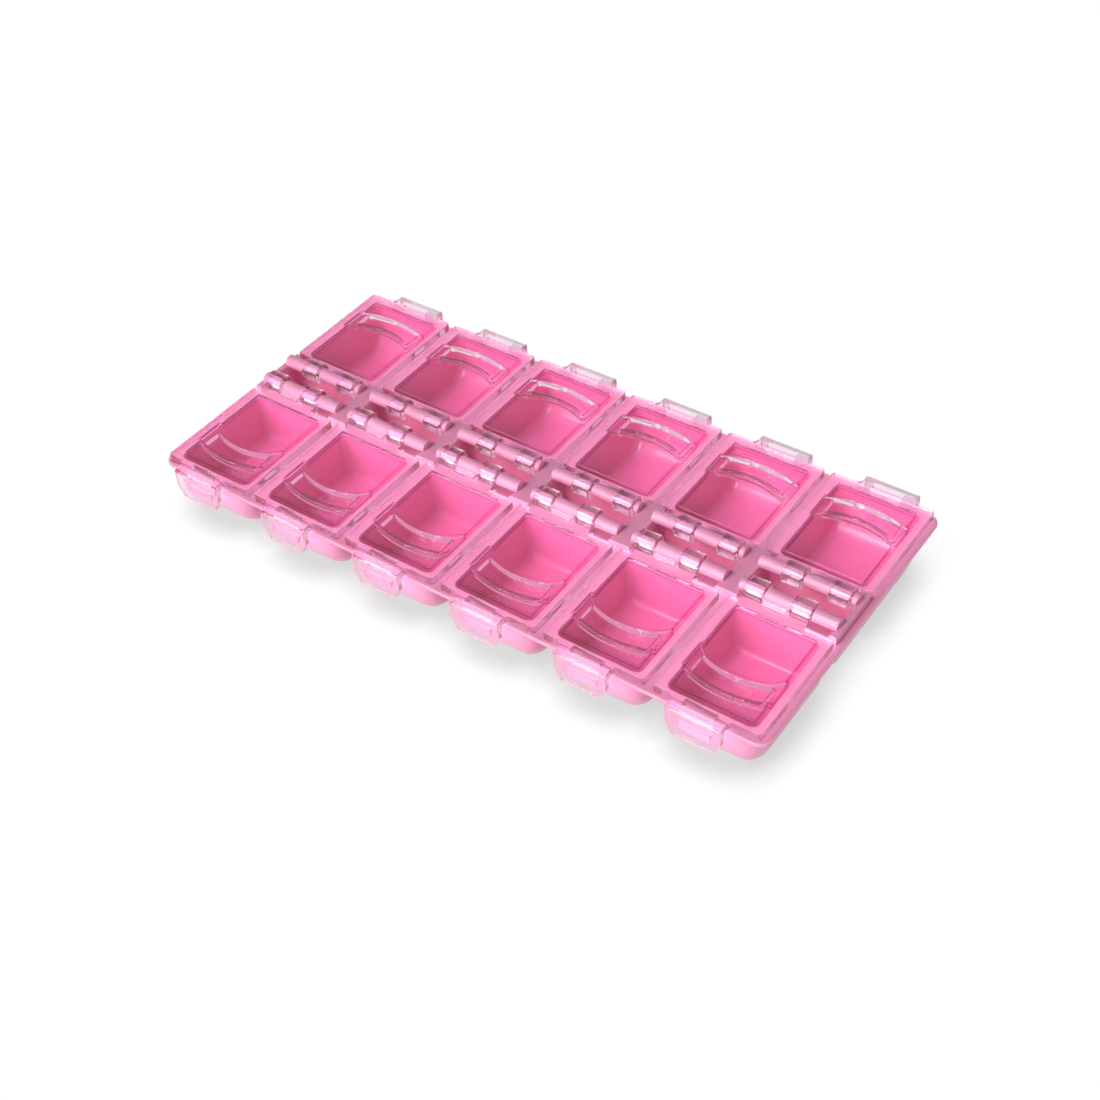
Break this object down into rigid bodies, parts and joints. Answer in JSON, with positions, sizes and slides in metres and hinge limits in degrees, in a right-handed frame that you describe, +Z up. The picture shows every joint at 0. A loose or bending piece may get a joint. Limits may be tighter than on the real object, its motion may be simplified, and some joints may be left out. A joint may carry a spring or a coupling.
{
  "type": "bead organizer",
  "caption": "Flat bead organizer: a pink moulded tray of scooped compartments, each under its own clear hinged lid with a snap latch.",
  "frame": {"origin": "middle of the footprint, on the plane that the cups stand on, with all lids closed", "axes": "+X along the long side with its six columns, +Y from the near row to the far row, +Z up"},
  "size_m": [0.13, 0.0664, 0.0148],
  "materials": {
    "pink_plastic": "glossy injection-moulded plastic in bubble-gum pink",
    "clear_plastic": "clear injection-moulded plastic, polished"
  },
  "bodies": {
    "tray": {"tray": "pink_plastic"},
    "lid_near_1": {"lid_near_1": "clear_plastic"},
    "lid_near_2": {"lid_near_2": "clear_plastic"},
    "lid_near_3": {"lid_near_3": "clear_plastic"},
    "lid_near_4": {"lid_near_4": "clear_plastic"},
    "lid_near_5": {"lid_near_5": "clear_plastic"},
    "lid_near_6": {"lid_near_6": "clear_plastic"},
    "lid_far_1": {"lid_far_1": "clear_plastic"},
    "lid_far_2": {"lid_far_2": "clear_plastic"},
    "lid_far_3": {"lid_far_3": "clear_plastic"},
    "lid_far_4": {"lid_far_4": "clear_plastic"},
    "lid_far_5": {"lid_far_5": "clear_plastic"},
    "lid_far_6": {"lid_far_6": "clear_plastic"}
  },
  "joints": [
    {"name": "hinge_near_1", "type": "hinge", "parent": "tray", "child": "lid_near_1", "pos_m": [-0.05375, -0.0033, 0.0127], "axis": [-1, 0, 0], "range_deg": [0, 95]},
    {"name": "hinge_near_2", "type": "hinge", "parent": "tray", "child": "lid_near_2", "pos_m": [-0.03225, -0.0033, 0.0127], "axis": [-1, 0, 0], "range_deg": [0, 95]},
    {"name": "hinge_near_3", "type": "hinge", "parent": "tray", "child": "lid_near_3", "pos_m": [-0.01075, -0.0033, 0.0127], "axis": [-1, 0, 0], "range_deg": [0, 95]},
    {"name": "hinge_near_4", "type": "hinge", "parent": "tray", "child": "lid_near_4", "pos_m": [0.01075, -0.0033, 0.0127], "axis": [-1, 0, 0], "range_deg": [0, 95]},
    {"name": "hinge_near_5", "type": "hinge", "parent": "tray", "child": "lid_near_5", "pos_m": [0.03225, -0.0033, 0.0127], "axis": [-1, 0, 0], "range_deg": [0, 95]},
    {"name": "hinge_near_6", "type": "hinge", "parent": "tray", "child": "lid_near_6", "pos_m": [0.05375, -0.0033, 0.0127], "axis": [-1, 0, 0], "range_deg": [0, 95]},
    {"name": "hinge_far_1", "type": "hinge", "parent": "tray", "child": "lid_far_1", "pos_m": [-0.05375, 0.0033, 0.0127], "axis": [1, 0, 0], "range_deg": [0, 95]},
    {"name": "hinge_far_2", "type": "hinge", "parent": "tray", "child": "lid_far_2", "pos_m": [-0.03225, 0.0033, 0.0127], "axis": [1, 0, 0], "range_deg": [0, 95]},
    {"name": "hinge_far_3", "type": "hinge", "parent": "tray", "child": "lid_far_3", "pos_m": [-0.01075, 0.0033, 0.0127], "axis": [1, 0, 0], "range_deg": [0, 95]},
    {"name": "hinge_far_4", "type": "hinge", "parent": "tray", "child": "lid_far_4", "pos_m": [0.01075, 0.0033, 0.0127], "axis": [1, 0, 0], "range_deg": [0, 95]},
    {"name": "hinge_far_5", "type": "hinge", "parent": "tray", "child": "lid_far_5", "pos_m": [0.03225, 0.0033, 0.0127], "axis": [1, 0, 0], "range_deg": [0, 95]},
    {"name": "hinge_far_6", "type": "hinge", "parent": "tray", "child": "lid_far_6", "pos_m": [0.05375, 0.0033, 0.0127], "axis": [1, 0, 0], "range_deg": [0, 95]}
  ]
}
